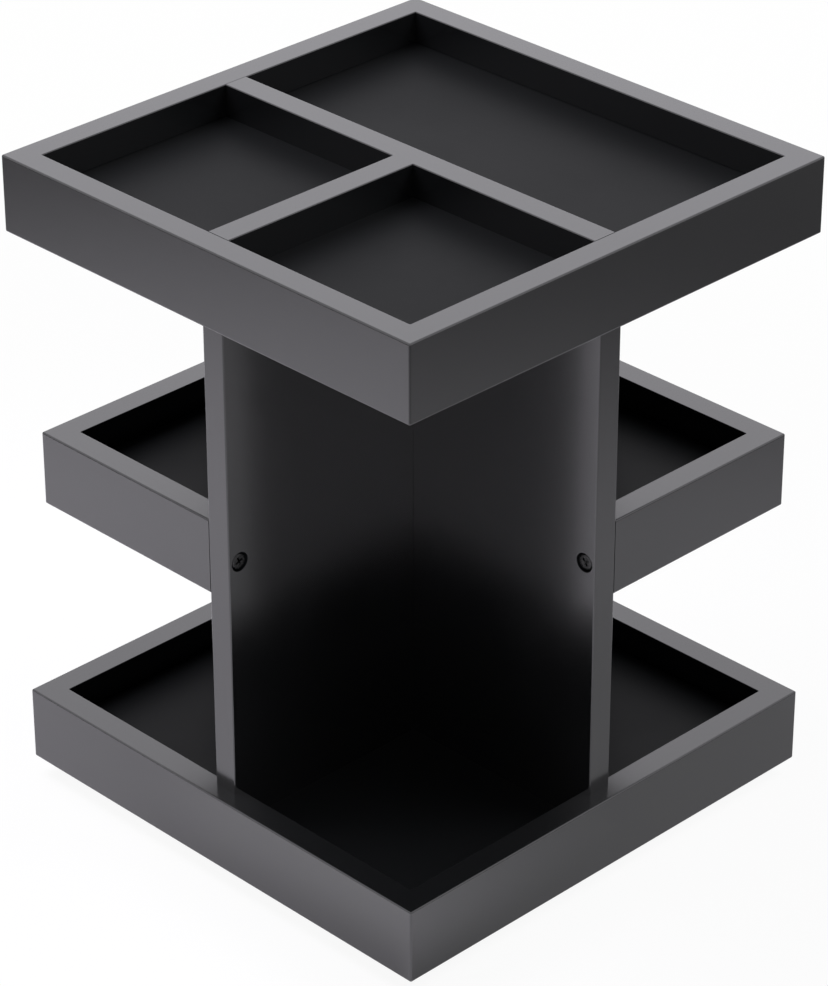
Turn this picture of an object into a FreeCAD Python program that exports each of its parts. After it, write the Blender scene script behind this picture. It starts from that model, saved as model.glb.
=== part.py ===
import FreeCAD, Part
import os

import Sketcher

# A black square stand in three tiers that turns on a low round base.
# Front is -Y, right is +X and up is +Z. The origin is on the table, on the turning axis.
# Lengths are in millimetres.

doc = FreeCAD.newDocument("TurningStand")
sizes = doc.addObject("Spreadsheet::Sheet", "Sizes")
derived = doc.addObject("Spreadsheet::Sheet", "Derived")

drivingSizes = [
    ("trayWidth", 240, "outside of the bottom and top trays, both ways"),
    ("wallThickness", 12, "walls of the bottom and top trays"),
    ("middleWallThickness", 12, "walls of the two middle trays"),
    ("panelThickness", 12, "the two upright panels"),
    ("dividerThickness", 12, "strips that part the top tray"),
    ("panelInset", 7.5, "upright panel's edge back from the tray's outer face"),
    ("bottomWallHeight", 35, "bottom tray wall"),
    ("middleWallHeight", 35, "middle tray wall"),
    ("topWallHeight", 35, "top tray wall"),
    ("bottomTrayDepth", 15, "bottom tray, floor to rim"),
    ("middleTrayDepth", 15, "middle tray, floor to rim"),
    ("topTrayDepth", 15, "top tray, floor to rim"),
    ("bottomFloorThickness", 9, "board that carries the bearing"),
    ("middleFloorThickness", 6, "middle tray board"),
    ("topFloorThickness", 6, "top tray board"),
    ("lowerBayHeight", 95, "bottom rim to the underside of the middle tray"),
    ("upperBayHeight", 95, "middle rim to the underside of the top tray"),
    ("floorTongue", 4, "bottom and top floors enter their wall grooves this far"),
    ("middleFloorTongue", 3, "middle floor enters its wall grooves this far"),
    ("dadoDepth", 3, "middle floor enters the upright panels this far"),
    ("grooveClearance", 0.2, "play of a floor in its groove"),
    ("panelClearance", 0.25, "play of a panel's foot and head between the tray walls"),
    ("lapClearance", 0.1, "play on each side of the lap slots"),
    ("edgeRound", 0.8, "sanded round on the trays' outer edges"),
    ("innerRound", 0.5, "eased arris on the trays' inner edges and the dividers"),
    ("panelRound", 0.6, "sanded round on the upright panels' edges"),
    ("dowelDiameter", 6, "beech dowel"),
    ("dowelLength", 30, "beech dowel"),
    ("dowelFaceDepth", 8, "corner dowel in the side wall"),
    ("dowelDividerDepth", 9, "top dowel in the divider"),
    ("dowelPlay", 0.1, "dowel hole wider than the dowel"),
    ("dowelEndGap", 0.5, "dowel hole deeper than the dowel at each end"),
    ("dowelChamfer", 0.8, "dowel ends"),
    ("topDowelMargin", 33, "top dowels from the tray's walls"),
    ("screwDiameter", 4, "long wood screw"),
    ("screwLength", 35, "long wood screw"),
    ("screwHeadDiameter", 7.6, "countersunk head"),
    ("screwHeadRecess", 0.2, "head below the board's face"),
    ("screwHeadRim", 0.3, "straight rim of the countersunk head"),
    ("screwPointLength", 4, "point of the long screw"),
    ("screwPlay", 0.1, "screw hole wider than the screw"),
    ("screwEndGap", 0.5, "screw hole deeper than the screw"),
    ("crossLength", 4.4, "cross slot in the screw heads, across"),
    ("crossWidth", 0.9, "cross slot in the screw heads, one arm"),
    ("crossDepth", 1.5, "cross slot in the screw heads"),
    ("footScrewMargin", 16, "panel foot screws from the tray's walls"),
    ("discMargin", 8, "round base board inside the bottom tray's walls"),
    ("discThickness", 9, "round base board"),
    ("discRound", 1.5, "sanded round of the base board"),
    ("hubHoleMargin", 2.5, "hole in the base board round the hub's flared end"),
    ("accessHoleDiameter", 14, "hole for the driver that reaches the upper screws"),
    ("footHeight", 3, "rubber foot"),
    ("footDiameter", 16, "rubber foot"),
    ("footChamfer", 0.7, "rubber foot's lower edge"),
    ("footMargin", 4, "rubber foot from the base board's rim"),
    ("plateWidth", 102, "square plate of the bearing"),
    ("plateCornerRadius", 9, "square plate of the bearing"),
    ("sheetThickness", 1, "pressed steel of both plates"),
    ("plateHoleMargin", 8, "screw holes of a plate from its sides"),
    ("plateHoleDiameter", 4.4, "screw holes of a plate"),
    ("racePitchRadius", 36, "ring of balls"),
    ("ballDiameter", 5, "bearing ball"),
    ("ballCount", 16, "bearing balls"),
    ("trackClearance", 0.3, "ball to track"),
    ("trackBackGap", 0.2, "back of a pressed track to the board behind it"),
    ("beadShoulder", 1.4, "flat of the pressed bead beside its track"),
    ("hubRadius", 11, "drawn hub of the upper plate, outside"),
    ("hubClearance", 0.4, "hub to the lower plate, round and below it"),
    ("hubBend", 1, "bend of the hub"),
    ("hubFlange", 3.5, "flared end of the hub"),
    ("cageThickness", 1.2, "ball cage"),
    ("cageWeb", 1.5, "cage beside a ball's pocket"),
    ("cageClearance", 0.8, "cage to the flat of a bead"),
    ("pocketPlay", 0.4, "cage pocket wider than the ball"),
    ("plateScrewDiameter", 3.5, "short screw of the bearing plates"),
    ("plateScrewDepth", 7, "short screw in the board"),
    ("plateScrewHeadDiameter", 6.6, "pan head"),
    ("plateScrewHeadHeight", 1.9, "pan head"),
    ("plateScrewHeadCrown", 0.8, "pan head's sloping edge"),
    ("plateScrewPointLength", 2, "point of the short screw"),
    ("plateCrossDepth", 1.1, "cross slot in the pan heads"),
]

derivedSizes = [
    ("trackRadius", "Sizes.ballDiameter / 2 + Sizes.trackClearance"),
    ("bearingHeight", "2 * (trackRadius + Sizes.sheetThickness + Sizes.trackBackGap)"),
    ("ballLevel", "bearingHeight / 2"),
    ("beadTop", "ballLevel - Sizes.cageThickness / 2 - Sizes.cageClearance"),
    ("beadHeight", "beadTop - Sizes.sheetThickness"),
    ("beadHalfWidth", "trackRadius + Sizes.beadShoulder"),
    ("cageHalfWidth", "(Sizes.ballDiameter + Sizes.pocketPlay) / 2 + Sizes.cageWeb"),
    ("plateHolePlace", "Sizes.plateWidth / 2 - Sizes.plateHoleMargin"),
    ("discTop", "Sizes.footHeight + Sizes.discThickness"),
    ("bottomFloorUnder", "discTop + bearingHeight"),
    ("bottomFloorTop", "bottomFloorUnder + Sizes.bottomFloorThickness"),
    ("bottomRim", "bottomFloorTop + Sizes.bottomTrayDepth"),
    ("bottomUnder", "bottomRim - Sizes.bottomWallHeight"),
    ("middleUnder", "bottomRim + Sizes.lowerBayHeight"),
    ("middleRim", "middleUnder + Sizes.middleWallHeight"),
    ("middleFloorTop", "middleRim - Sizes.middleTrayDepth"),
    ("middleFloorUnder", "middleFloorTop - Sizes.middleFloorThickness"),
    ("topUnder", "middleRim + Sizes.upperBayHeight"),
    ("topRim", "topUnder + Sizes.topWallHeight"),
    ("topFloorTop", "topRim - Sizes.topTrayDepth"),
    ("topFloorUnder", "topFloorTop - Sizes.topFloorThickness"),
    ("panelHeight", "topFloorUnder - bottomFloorTop"),
    ("panelShoulder", "topUnder - bottomFloorTop"),
    ("panelLap", "panelHeight / 2"),
    ("panelDado", "middleFloorUnder - bottomFloorTop"),
    ("trayHalf", "Sizes.trayWidth / 2"),
    ("recessHalf", "trayHalf - Sizes.wallThickness"),
    ("panelHalf", "trayHalf - Sizes.panelInset"),
    ("middleHalf", "panelHalf - Sizes.middleWallThickness"),
    ("wallScrewPlace", "panelHalf - Sizes.middleWallThickness / 2"),
    ("wallScrewLevel", "middleUnder + Sizes.middleWallHeight / 2"),
    ("footScrewPlace", "recessHalf - Sizes.footScrewMargin"),
    ("topDowelPlace", "recessHalf - Sizes.topDowelMargin"),
    ("hubHoleRadius", "Sizes.hubRadius + Sizes.hubFlange + Sizes.hubHoleMargin"),
    ("discRadius", "recessHalf - Sizes.discMargin"),
    ("footPlace", "(discRadius - Sizes.footMargin - Sizes.footDiameter / 2) / sqrt(2)"),
]


def fillSheet(sheet, rows):
    for row, (alias, content) in enumerate(rows, start=1):
        sheet.set("A%d" % row, alias)
        sheet.set("B%d" % row, content)
        sheet.setAlias("B%d" % row, alias)


fillSheet(sizes, [(alias, str(value)) for alias, value, meaning in drivingSizes])
for row, (alias, value, meaning) in enumerate(drivingSizes, start=1):
    sizes.set("C%d" % row, meaning)
doc.recompute()
fillSheet(derived, [(alias, "=" + formula) for alias, formula in derivedSizes])
doc.recompute()

pieces = []


def valueOf(expression):
    return float(sizes.evalExpression(expression))


def originFeature(body, role):
    return next(feature for feature in body.Origin.OriginFeatures if feature.Role == role)


# A new sub-part: its place is an expression for each coordinate and a turn about the vertical axis.
def newPiece(label, x="0", y="0", z="0", turn=0):
    body = doc.addObject("PartDesign::Body", label)
    body.Label = label
    body.AllowCompound = True
    body.Placement = FreeCAD.Placement(FreeCAD.Vector(), FreeCAD.Rotation(turn, 0, 0))
    body.setExpression("Placement.Base.x", x)
    body.setExpression("Placement.Base.y", y)
    body.setExpression("Placement.Base.z", z)
    pieces.append(body)
    return body


def newSketch(body, name, role, away):
    sketch = body.newObject("Sketcher::SketchObject", body.Name + name)
    sketch.AttachmentSupport = [(originFeature(body, role), "")]
    sketch.MapMode = "FlatFace"
    sketch.setExpression("AttachmentOffset.Base.z", away)
    return sketch


def bind(sketch, constraint, word, expression):
    index = sketch.addConstraint(constraint)
    sketch.renameConstraint(index, word)
    sketch.setExpression("Constraints." + word, expression)


# A closed outline through corners, each an (across, up) pair of expressions. An arc replaces the side
# that starts at a corner: (centre across, centre up, radius, runs anticlockwise). Its ends are fixed by the
# corners, so one coordinate of its centre settles it.
def outline(body, name, role, corners, away="0", arcs=None):
    arcs = arcs or {}
    sketch = newSketch(body, name, role, away)
    points = [FreeCAD.Vector(valueOf(across), valueOf(up), 0) for across, up in corners]
    count = len(points)
    starts = []
    ends = []
    for index in range(count):
        first = points[index]
        last = points[(index + 1) % count]
        if index in arcs:
            centreAcross, centreUp, radius, anticlockwise = arcs[index]
            centre = FreeCAD.Vector(valueOf(centreAcross), valueOf(centreUp), 0)
            circle = Part.Circle(centre, FreeCAD.Vector(0, 0, 1), valueOf(radius))
            if not anticlockwise:
                first, last = last, first
            sketch.addGeometry(Part.ArcOfCircle(circle, circle.parameter(first), circle.parameter(last)))
            starts.append(1 if anticlockwise else 2)
            ends.append(2 if anticlockwise else 1)
        else:
            sketch.addGeometry(Part.LineSegment(first, last))
            starts.append(1)
            ends.append(2)
    for index in range(count):
        following = (index + 1) % count
        joint = Sketcher.Constraint("Coincident", index, ends[index], following, starts[following])
        sketch.addConstraint(joint)
    for index, (across, up) in enumerate(corners):
        position = points[index]
        sideways = Sketcher.Constraint("DistanceX", -1, 1, index, starts[index], position.x)
        upwards = Sketcher.Constraint("DistanceY", -1, 1, index, starts[index], position.y)
        bind(sketch, sideways, "cornerAcross%d" % index, across)
        bind(sketch, upwards, "cornerUp%d" % index, up)
    for index in arcs:
        centreAcross, centreUp = arcs[index][:2]
        chord = points[(index + 1) % count] - points[index]
        if abs(chord.x) > abs(chord.y):
            height = Sketcher.Constraint("DistanceY", -1, 1, index, 3, valueOf(centreUp))
            bind(sketch, height, "centreUp%d" % index, centreUp)
        else:
            distance = Sketcher.Constraint("DistanceX", -1, 1, index, 3, valueOf(centreAcross))
            bind(sketch, distance, "centreAcross%d" % index, centreAcross)
    return sketch


def rectangle(body, name, role, left, right, low, high, away="0"):
    return outline(body, name, role, [(left, low), (right, low), (right, high), (left, high)], away)


def circles(body, name, role, centres, diameter, away="0"):
    sketch = newSketch(body, name, role, away)
    for index, (across, up) in enumerate(centres):
        centre = FreeCAD.Vector(valueOf(across), valueOf(up), 0)
        sketch.addGeometry(Part.Circle(centre, FreeCAD.Vector(0, 0, 1), valueOf(diameter) / 2))
        sideways = Sketcher.Constraint("DistanceX", -1, 1, index, 3, centre.x)
        upwards = Sketcher.Constraint("DistanceY", -1, 1, index, 3, centre.y)
        bind(sketch, sideways, "centreAcross%d" % index, across)
        bind(sketch, upwards, "centreUp%d" % index, up)
        bind(sketch, Sketcher.Constraint("Diameter", index, valueOf(diameter)), "bore%d" % index, diameter)
    return sketch


def extrude(body, name, sketch, length, kind="PartDesign::Pad", bothWays=False, otherWay=False):
    volumeBefore = body.Shape.Volume if body.Tip else 0
    feature = body.newObject(kind, body.Name + name)
    feature.Profile = sketch
    if length is None:
        feature.Type = "ThroughAll"
    else:
        feature.setExpression("Length", length)
    feature.SideType = "Symmetric" if bothWays else "One side"
    feature.Reversed = otherWay
    doc.recompute()
    checkChange(body, feature, volumeBefore, kind == "PartDesign::Pad")
    return feature


def cut(body, name, sketch, depth=None, bothWays=False, otherWay=False):
    return extrude(body, name, sketch, depth, "PartDesign::Pocket", bothWays, otherWay)


# A feature that misses its board would leave the volume as it was.
def checkChange(body, feature, volumeBefore, adds):
    change = feature.Shape.Volume - volumeBefore
    if (change if adds else -change) < 1e-3:
        raise RuntimeError("%s changes nothing on %s" % (feature.Name, body.Label))


# A turned form: the outline's closing side lies on the axis.
def turned(body, name, role, corners, away="0", arcs=None):
    sketch = outline(body, name + "Section", role, corners, away, arcs)
    feature = body.newObject("PartDesign::Revolution", body.Name + name)
    feature.Profile = sketch
    feature.ReferenceAxis = (sketch, ["Edge%d" % len(corners)])
    feature.Angle = 360
    doc.recompute()
    return feature


def drilled(body, name, sketch, diameter, sink=None, otherWay=False):
    volumeBefore = body.Shape.Volume
    hole = body.newObject("PartDesign::Hole", body.Name + name)
    hole.Profile = sketch
    doc.recompute()
    hole.ThreadType = "None"
    hole.setExpression("Diameter", diameter)
    hole.DepthType = "ThroughAll"
    if sink:
        hole.HoleCutType = "Countersink"
        hole.HoleCutCustomValues = True
        hole.setExpression("HoleCutDiameter", sink)
        hole.HoleCutCountersinkAngle = 90
    hole.Reversed = otherWay
    doc.recompute()
    checkChange(body, hole, volumeBefore, False)
    return hole


def aroundAxis(body, name, features, count, angle=360, otherWay=False):
    pattern = body.newObject("PartDesign::PolarPattern", body.Name + name)
    pattern.Originals = features
    pattern.Axis = (originFeature(body, "Z_Axis"), [""])
    pattern.Angle = angle
    pattern.Reversed = otherWay
    if isinstance(count, str):
        pattern.setExpression("Occurrences", count)
    else:
        pattern.Occurrences = count
    body.Tip = pattern
    doc.recompute()
    return pattern


def mirrored(body, name, features, role):
    mirror = body.newObject("PartDesign::Mirrored", body.Name + name)
    mirror.Originals = features
    mirror.MirrorPlane = (originFeature(body, role), [""])
    body.Tip = mirror
    doc.recompute()
    return mirror


# True where an edge lies whole in the plane across one axis at a place.
def liesAt(edge, axis, place):
    box = edge.BoundBox
    low = {"X": box.XMin, "Y": box.YMin, "Z": box.ZMin}[axis]
    high = {"X": box.XMax, "Y": box.YMax, "Z": box.ZMax}[axis]
    return abs(low - place) < 1e-4 and abs(high - place) < 1e-4


def isLevel(edge):
    return edge.BoundBox.ZLength < 1e-4


def sanded(body, name, radius, chosen):
    base = body.Tip
    names = ["Edge%d" % number for number, edge in enumerate(base.Shape.Edges, start=1) if chosen(edge)]
    fillet = body.newObject("PartDesign::Fillet", body.Name + name)
    fillet.Base = (base, names)
    fillet.setExpression("Radius", radius)
    doc.recompute()
    return fillet


# Eases a straight arris between two faces square to each other, where a fillet would run on into a joint.
# The board lies on the inward side of the corner, (1 or -1 across, 1 or -1 up), and the cut runs along the
# sketch's normal from its plane.
def easedArris(body, name, role, across, up, inward, length, away="0", bothWays=False, otherWay=False):
    radius = "Sizes.innerRound"
    inAcross = "%s + %d * %s" % (across, inward[0], radius)
    inUp = "%s + %d * %s" % (up, inward[1], radius)
    corners = [(across, up), (inAcross, up), (across, inUp)]
    arcs = {1: (inAcross, inUp, radius, inward[0] * inward[1] < 0)}
    shape = outline(body, name + "Shape", role, corners, away, arcs)
    return cut(body, name, shape, length, bothWays, otherWay)


# The measures of one tray, from its underside.
def trayMeasures(word, thickness, tongue):
    under = "Derived.%sUnder" % word
    floorLow = "(Derived.%sFloorUnder - %s)" % (word, under)
    wallHeight = "Sizes.%sWallHeight" % word
    depth = "Sizes.%sTrayDepth" % word
    return {
        "under": under,
        "wallHeight": wallHeight,
        "thickness": thickness,
        "tongue": tongue,
        "grooveLow": floorLow,
        "grooveHigh": "%s + Sizes.%sFloorThickness + Sizes.grooveClearance" % (floorLow, word),
        "lowDowel": "%s / 2" % floorLow,
        "highDowel": "%s - %s / 2" % (wallHeight, depth),
    }


bottomTray = trayMeasures("bottom", "Sizes.wallThickness", "Sizes.floorTongue")
middleTray = trayMeasures("middle", "Sizes.middleWallThickness", "Sizes.middleFloorTongue")
topTray = trayMeasures("top", "Sizes.wallThickness", "Sizes.floorTongue")

dowelHole = "Sizes.dowelDiameter + Sizes.dowelPlay"
faceHoleDepth = "Sizes.dowelFaceDepth + Sizes.dowelEndGap"
endHoleDepth = "Sizes.dowelLength - Sizes.dowelFaceDepth + Sizes.dowelEndGap"
screwHole = "Sizes.screwDiameter + Sizes.screwPlay"
plateScrewHole = "Sizes.plateScrewDiameter + Sizes.screwPlay"
countersink = (
    "Sizes.screwHeadDiameter + 2 * (Sizes.screwHeadRecess + Sizes.screwHeadRim + Sizes.screwPlay)"
)


# A side wall of the bottom or top tray runs the tray's full width, so it shows both corner edges.
def addSideWall(label, tray, turn):
    body = newPiece(label, z=tray["under"], turn=turn)
    plan = rectangle(body, "Plan", "XY_Plane", "Derived.recessHalf", "Derived.trayHalf",
                     "-Derived.trayHalf", "Derived.trayHalf")
    extrude(body, "Board", plan, tray["wallHeight"])
    outer = valueOf("Derived.trayHalf")
    sanded(body, "Rounds", "Sizes.edgeRound",
           lambda edge: liesAt(edge, "X", outer)
           or (isLevel(edge) and (liesAt(edge, "Y", outer) or liesAt(edge, "Y", -outer))))
    groove = rectangle(body, "GrooveSection", "XZ_Plane", "Derived.recessHalf",
                       "Derived.recessHalf + " + tray["tongue"], tray["grooveLow"], tray["grooveHigh"])
    cut(body, "Groove", groove, "2 * (Derived.recessHalf + %s)" % tray["tongue"], bothWays=True)
    for name, up, inUp in (("TopArris", tray["wallHeight"], -1), ("LowArris", "0", 1)):
        easedArris(body, name, "XZ_Plane", "Derived.recessHalf", up, (1, inUp),
                   "2 * Derived.recessHalf", bothWays=True)
    place = "(Derived.trayHalf - Sizes.wallThickness / 2)"
    dowelLevels = (tray["lowDowel"], tray["highDowel"])
    centres = [(sign + place, level) for sign in ("", "-") for level in dowelLevels]
    holes = circles(body, "DowelCentres", "YZ_Plane", centres, dowelHole, "Derived.recessHalf")
    cut(body, "DowelHoles", holes, faceHoleDepth, otherWay=True)
    return body


# A front or back wall fits between the side walls.
def addEndWall(label, tray, turn):
    body = newPiece(label, z=tray["under"], turn=turn)
    plan = rectangle(body, "Plan", "XY_Plane", "-Derived.recessHalf", "Derived.recessHalf",
                     "-Derived.trayHalf", "-Derived.recessHalf")
    extrude(body, "Board", plan, tray["wallHeight"])
    outer = valueOf("Derived.trayHalf")
    sanded(body, "Rounds", "Sizes.edgeRound", lambda edge: isLevel(edge) and liesAt(edge, "Y", -outer))
    groove = rectangle(body, "GrooveSection", "YZ_Plane", "-Derived.recessHalf - " + tray["tongue"],
                       "-Derived.recessHalf", tray["grooveLow"], tray["grooveHigh"])
    cut(body, "Groove", groove, "2 * Derived.recessHalf", bothWays=True)
    for name, up, inUp in (("TopArris", tray["wallHeight"], -1), ("LowArris", "0", 1)):
        easedArris(body, name, "YZ_Plane", "-Derived.recessHalf", up, (-1, inUp),
                   "2 * Derived.recessHalf", bothWays=True)
    place = "-(Derived.trayHalf - Sizes.wallThickness / 2)"
    centres = [(place, tray["lowDowel"]), (place, tray["highDowel"])]
    holes = circles(body, "DowelCentres", "YZ_Plane", centres, dowelHole, "Derived.recessHalf")
    drilledEnd = cut(body, "DowelHoles", holes, endHoleDepth)
    mirrored(body, "OtherEnd", [drilledEnd], "YZ_Plane")
    return body


def dowelSection(low, high, axisPlace):
    radius = "Sizes.dowelDiameter / 2"
    edge = "%s - Sizes.dowelChamfer" % radius
    return [
        (low, axisPlace),
        (low, "%s + %s" % (axisPlace, edge)),
        (low + " + Sizes.dowelChamfer", "%s + %s" % (axisPlace, radius)),
        (high + " - Sizes.dowelChamfer", "%s + %s" % (axisPlace, radius)),
        (high, "%s + %s" % (axisPlace, edge)),
        (high, axisPlace),
    ]


# The dowels of one tray's corner joints: one pair, or all four corners by mirrors.
def addCornerDowels(label, tray, seam, away, allCorners, turn=0):
    body = newPiece(label, z=tray["under"], turn=turn)
    high = "(%s + Sizes.dowelFaceDepth)" % seam
    low = "(%s - Sizes.dowelLength)" % high
    dowel = turned(body, "Dowel", "XZ_Plane", dowelSection(low, high, tray["lowDowel"]), away)
    group = body.newObject("PartDesign::MultiTransform", body.Name + "Group")
    group.Originals = [dowel]
    upwards = body.newObject("PartDesign::LinearPattern", body.Name + "Upwards")
    upwards.Direction = (originFeature(body, "Z_Axis"), [""])
    upwards.setExpression("Length", "%s - %s" % (tray["highDowel"], tray["lowDowel"]))
    upwards.Occurrences = 2
    steps = [upwards]
    if allCorners:
        for role in ("XZ_Plane", "YZ_Plane"):
            mirror = body.newObject("PartDesign::Mirrored", body.Name + role)
            mirror.MirrorPlane = (originFeature(body, role), [""])
            steps.append(mirror)
    group.Transformations = steps
    body.Tip = group
    doc.recompute()
    return body


# The bottom floor carries the bearing below and the panels' feet above.
def addBottomFloor():
    body = newPiece("bottom_floor", z="Derived.bottomFloorUnder")
    half = "Derived.recessHalf + Sizes.floorTongue - Sizes.grooveClearance"
    plan = rectangle(body, "Plan", "XY_Plane", "-(%s)" % half, half, "-(%s)" % half, half)
    extrude(body, "Board", plan, "Sizes.bottomFloorThickness")
    centre = circles(body, "FootScrewCentre", "XY_Plane", [("Derived.footScrewPlace", "0")], screwHole)
    footHole = drilled(body, "FootScrewHole", centre, screwHole, countersink, otherWay=True)
    aroundAxis(body, "FootScrewHoles", [footHole], 4)
    corner = "Derived.plateHolePlace"
    pilot = circles(body, "PilotCentre", "XY_Plane", [(corner, corner)], plateScrewHole)
    pilotHole = cut(body, "PilotHole", pilot, "Sizes.plateScrewDepth + Sizes.screwEndGap", otherWay=True)
    aroundAxis(body, "PilotHoles", [pilotHole], 4)
    return body


def addTopFloor():
    body = newPiece("top_floor", z="Derived.topFloorUnder")
    half = "Derived.recessHalf + Sizes.floorTongue - Sizes.grooveClearance"
    plan = rectangle(body, "Plan", "XY_Plane", "-(%s)" % half, half, "-(%s)" % half, half)
    extrude(body, "Board", plan, "Sizes.topFloorThickness")
    place = "Derived.topDowelPlace"
    centres = [(place, "0"), ("-" + place, "0"), ("0", "-" + place)]
    cut(body, "DowelHoles", circles(body, "DowelCentres", "XY_Plane", centres, dowelHole), otherWay=True)
    return body


# The long divider crosses the whole top tray. Its front arris is eased only beside the short divider.
def addLongDivider(dowels):
    body = newPiece("long_divider", z="Derived.topFloorTop")
    half = "Sizes.dividerThickness / 2"
    recess = "Derived.recessHalf"
    top = "Sizes.topTrayDepth"
    plan = rectangle(body, "Plan", "XY_Plane", "-" + recess, recess, "-" + half, half)
    extrude(body, "Board", plan, top)
    easedArris(body, "BackArris", "YZ_Plane", half, top, (-1, -1), "2 * " + recess, bothWays=True)
    beside = "%s - %s" % (recess, half)
    easedArris(body, "FrontRightArris", "YZ_Plane", "-" + half, top, (1, -1), beside, half, otherWay=True)
    easedArris(body, "FrontLeftArris", "YZ_Plane", "-" + half, top, (1, -1), beside, "-" + half)
    addDividerHoles(body, dowels)
    return body


# The short divider meets the long one from the front.
def addShortDivider(dowels):
    body = newPiece("short_divider", z="Derived.topFloorTop")
    half = "Sizes.dividerThickness / 2"
    recess = "Derived.recessHalf"
    top = "Sizes.topTrayDepth"
    plan = rectangle(body, "Plan", "XY_Plane", "-" + half, half, "-" + recess, "-" + half)
    extrude(body, "Board", plan, top)
    length = "2 * " + recess
    easedArris(body, "RightArris", "XZ_Plane", half, top, (-1, -1), length, bothWays=True)
    easedArris(body, "LeftArris", "XZ_Plane", "-" + half, top, (1, -1), length, bothWays=True)
    addDividerHoles(body, dowels)
    return body


def addDividerHoles(body, dowels):
    holes = circles(body, "DowelCentres", "XY_Plane", dowels, dowelHole)
    cut(body, "DowelHoles", holes, "Sizes.dowelDividerDepth + Sizes.dowelEndGap", otherWay=True)


# The dowels that hold the top tray stand in the panels' heads and end inside the dividers.
def addTopDowels():
    body = newPiece("top_tray_dowels", z="Derived.topFloorTop")
    radius = "Sizes.dowelDiameter / 2"
    high = "Sizes.dowelDividerDepth"
    low = "(%s - Sizes.dowelLength)" % high
    place = "Derived.topDowelPlace"
    corners = [
        (place, low),
        ("%s + %s - Sizes.dowelChamfer" % (place, radius), low),
        ("%s + %s" % (place, radius), low + " + Sizes.dowelChamfer"),
        ("%s + %s" % (place, radius), high + " - Sizes.dowelChamfer"),
        ("%s + %s - Sizes.dowelChamfer" % (place, radius), high),
        (place, high),
    ]
    dowel = turned(body, "Dowel", "XZ_Plane", corners)
    aroundAxis(body, "Group", [dowel], 3, 180, otherWay=True)
    return body


# An upright panel lies along its own X. Its foot and head stand between the tray walls, its shoulders
# on the rims. hand is 1 or -1 and says which way its screw and the floor's dado lie.
def addPanel(label, hand, slotFromTop, dowelPlaces, turn):
    body = newPiece(label, z="Derived.bottomFloorTop", turn=turn)
    tongue = "(Derived.recessHalf - Sizes.panelClearance)"
    edge = "Derived.panelHalf"
    foot = "Sizes.bottomTrayDepth"
    shoulder = "Derived.panelShoulder"
    head = "Derived.panelHeight"
    rightSide = [
        (tongue, "0"),
        (tongue, foot),
        (edge, foot),
        (edge, shoulder),
        (tongue, shoulder),
        (tongue, head),
    ]
    leftSide = [("-" + across, up) for across, up in reversed(rightSide)]
    profile = outline(body, "Profile", "XZ_Plane", rightSide + leftSide)
    extrude(body, "Board", profile, "Sizes.panelThickness", bothWays=True)
    edgePlace = valueOf(edge)
    sanded(body, "Rounds", "Sizes.panelRound",
           lambda item: not isLevel(item)
           and (liesAt(item, "X", edgePlace) or liesAt(item, "X", -edgePlace)))

    slotHalf = "(Sizes.panelThickness / 2 + Sizes.lapClearance)"
    low, high = ("Derived.panelLap", head) if slotFromTop else ("0", "Derived.panelLap")
    slot = rectangle(body, "LapSlotShape", "XZ_Plane", "-" + slotHalf, slotHalf, low, high)
    cut(body, "LapSlot", slot, bothWays=True)

    face = "Sizes.panelThickness / 2"
    dadoEnds = [slotHalf, "(Derived.middleHalf + Sizes.middleFloorTongue)"]
    if hand < 0:
        dadoEnds = ["-" + dadoEnds[1], "-" + dadoEnds[0]]
    dadoHigh = "Derived.panelDado + Sizes.middleFloorThickness + Sizes.grooveClearance"
    dado = rectangle(body, "DadoShape", "XZ_Plane", dadoEnds[0], dadoEnds[1], "Derived.panelDado", dadoHigh,
                     "-" + face)
    dadoCut = cut(body, "Dado", dado, "Sizes.dadoDepth", otherWay=True)
    aroundAxis(body, "Dados", [dadoCut], 2)

    screwPlace = ("" if hand > 0 else "-") + "Derived.wallScrewPlace"
    screwLevel = "Derived.wallScrewLevel - Derived.bottomFloorTop"
    centre = circles(body, "WallScrewCentre", "XZ_Plane", [(screwPlace, screwLevel)], screwHole, face)
    hole = drilled(body, "WallScrewHole", centre, screwHole, countersink)
    aroundAxis(body, "WallScrewHoles", [hole], 2)

    footCentres = [("Derived.footScrewPlace", "0"), ("-Derived.footScrewPlace", "0")]
    footHoles = circles(body, "FootScrewCentres", "XY_Plane", footCentres, screwHole)
    footDepth = "Sizes.screwLength + Sizes.screwHeadRecess - Sizes.bottomFloorThickness + Sizes.screwEndGap"
    cut(body, "FootScrewHoles", footHoles, footDepth, otherWay=True)

    headHoles = circles(body, "HeadDowelCentres", "XY_Plane", dowelPlaces, dowelHole, head)
    headDepth = ("Sizes.dowelLength - Sizes.dowelDividerDepth - Sizes.topFloorThickness"
                 " + Sizes.dowelEndGap")
    cut(body, "HeadDowelHoles", headHoles, headDepth)
    return body


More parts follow.
